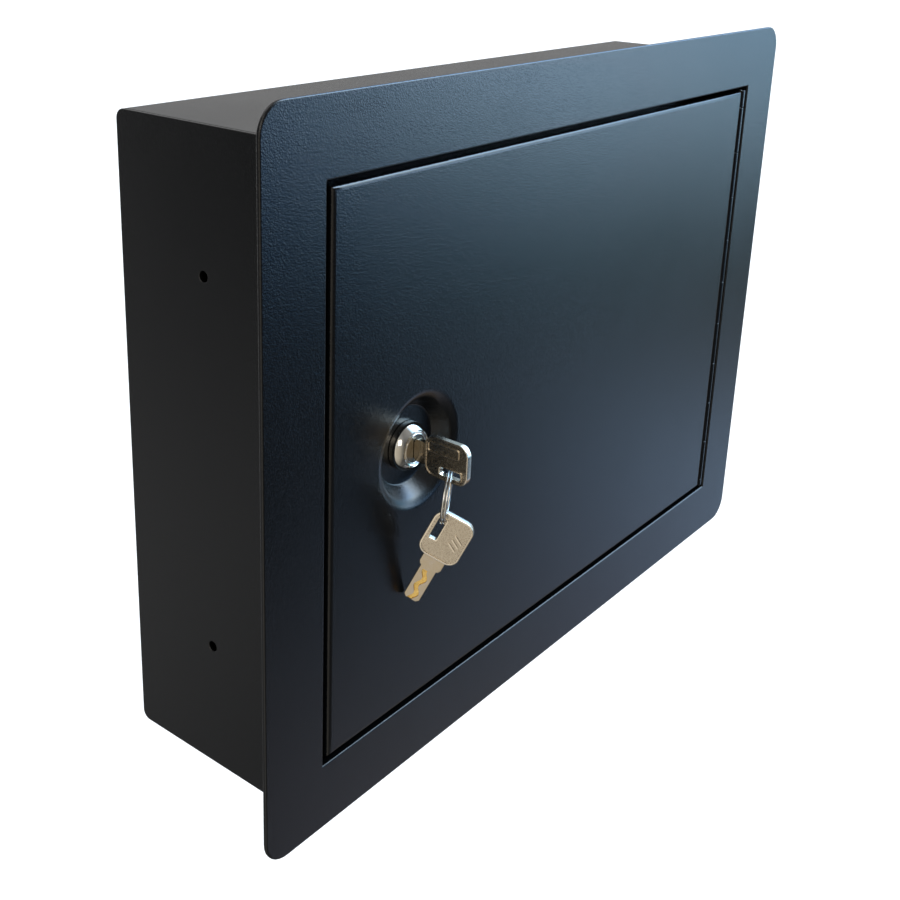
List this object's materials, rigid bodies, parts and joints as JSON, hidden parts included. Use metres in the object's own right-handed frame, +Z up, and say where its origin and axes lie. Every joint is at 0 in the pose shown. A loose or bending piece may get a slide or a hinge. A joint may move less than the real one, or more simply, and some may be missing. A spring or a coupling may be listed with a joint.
{
  "type": "wall safe",
  "caption": "Recessed wall safe: shallow folded-steel case behind a wide flange, flush door on a continuous hinge, key cam lock in a round dish, keys on a split ring.",
  "frame": {"origin": "middle of the wall surface, which is the back face of the flange, in the middle of the case's opening", "axes": "+X to the right seen from the room, +Y into the wall, +Z up"},
  "size_m": [0.4, 0.1206, 0.3],
  "materials": {
    "powder_coat": "satin black powder coat with a fine sandy texture",
    "zinc_plated_steel": "bright zinc plate",
    "zinc_casting": "plated die casting",
    "chrome_cap": "polished chrome",
    "lock_brass": "machined brass, plated on the face",
    "nickel_key": "satin nickel plate",
    "ring_steel": "polished nickel plate"
  },
  "bodies": {
    "case": {"body_wrapper": "powder_coat", "side_panel_left": "powder_coat", "side_panel_right": "powder_coat", "front_frame": "powder_coat", "hinge_leaf_frame": "powder_coat", "hinge_pin": "zinc_plated_steel"},
    "door": {"door_panel": "powder_coat", "hinge_leaf_door": "powder_coat", "lock_housing": "zinc_casting", "lock_cap": "chrome_cap", "lock_washer": "zinc_plated_steel", "lock_nut": "zinc_plated_steel"},
    "lock": {"lock_plug": "lock_brass", "wafer_1": "lock_brass", "wafer_2": "lock_brass", "wafer_3": "lock_brass", "wafer_4": "lock_brass", "wafer_5": "lock_brass", "wafer_spring_1": "zinc_plated_steel", "wafer_spring_2": "zinc_plated_steel", "wafer_spring_3": "zinc_plated_steel", "wafer_spring_4": "zinc_plated_steel", "wafer_spring_5": "zinc_plated_steel", "stop_washer": "zinc_plated_steel", "lock_cam": "zinc_plated_steel", "cam_washer": "zinc_plated_steel", "cam_screw": "zinc_plated_steel"},
    "key": {"key_in_lock": "nickel_key"},
    "ring": {"key_ring": "ring_steel"},
    "spare": {"spare_key": "nickel_key"}
  },
  "joints": [
    {"name": "door_swing", "type": "hinge", "parent": "case", "child": "door", "pos_m": [0.1647, 0.001, 0], "axis": [0, 0, 1], "range_deg": [0, 105]},
    {"name": "lock_turn", "type": "hinge", "parent": "door", "child": "lock", "pos_m": [-0.1115, 0, 0], "axis": [0, 1, 0], "range_deg": [0, 90]},
    {"name": "key_pull", "type": "slide", "parent": "lock", "child": "key", "axis": [0, -1, 0], "range_m": [0, 0.022]},
    {"name": "ring_swing", "type": "hinge", "parent": "key", "child": "ring", "pos_m": [-0.1115, -0.0173, -0.00615], "axis": [-0.5135, 0.8545, 0.0785], "range_deg": [0, 10]},
    {"name": "spare_key_swing", "type": "hinge", "parent": "ring", "child": "spare", "pos_m": [-0.1123, -0.01597, -0.02534], "axis": [0.8829, 0.4695, 0], "range_deg": [-30, 0]}
  ]
}
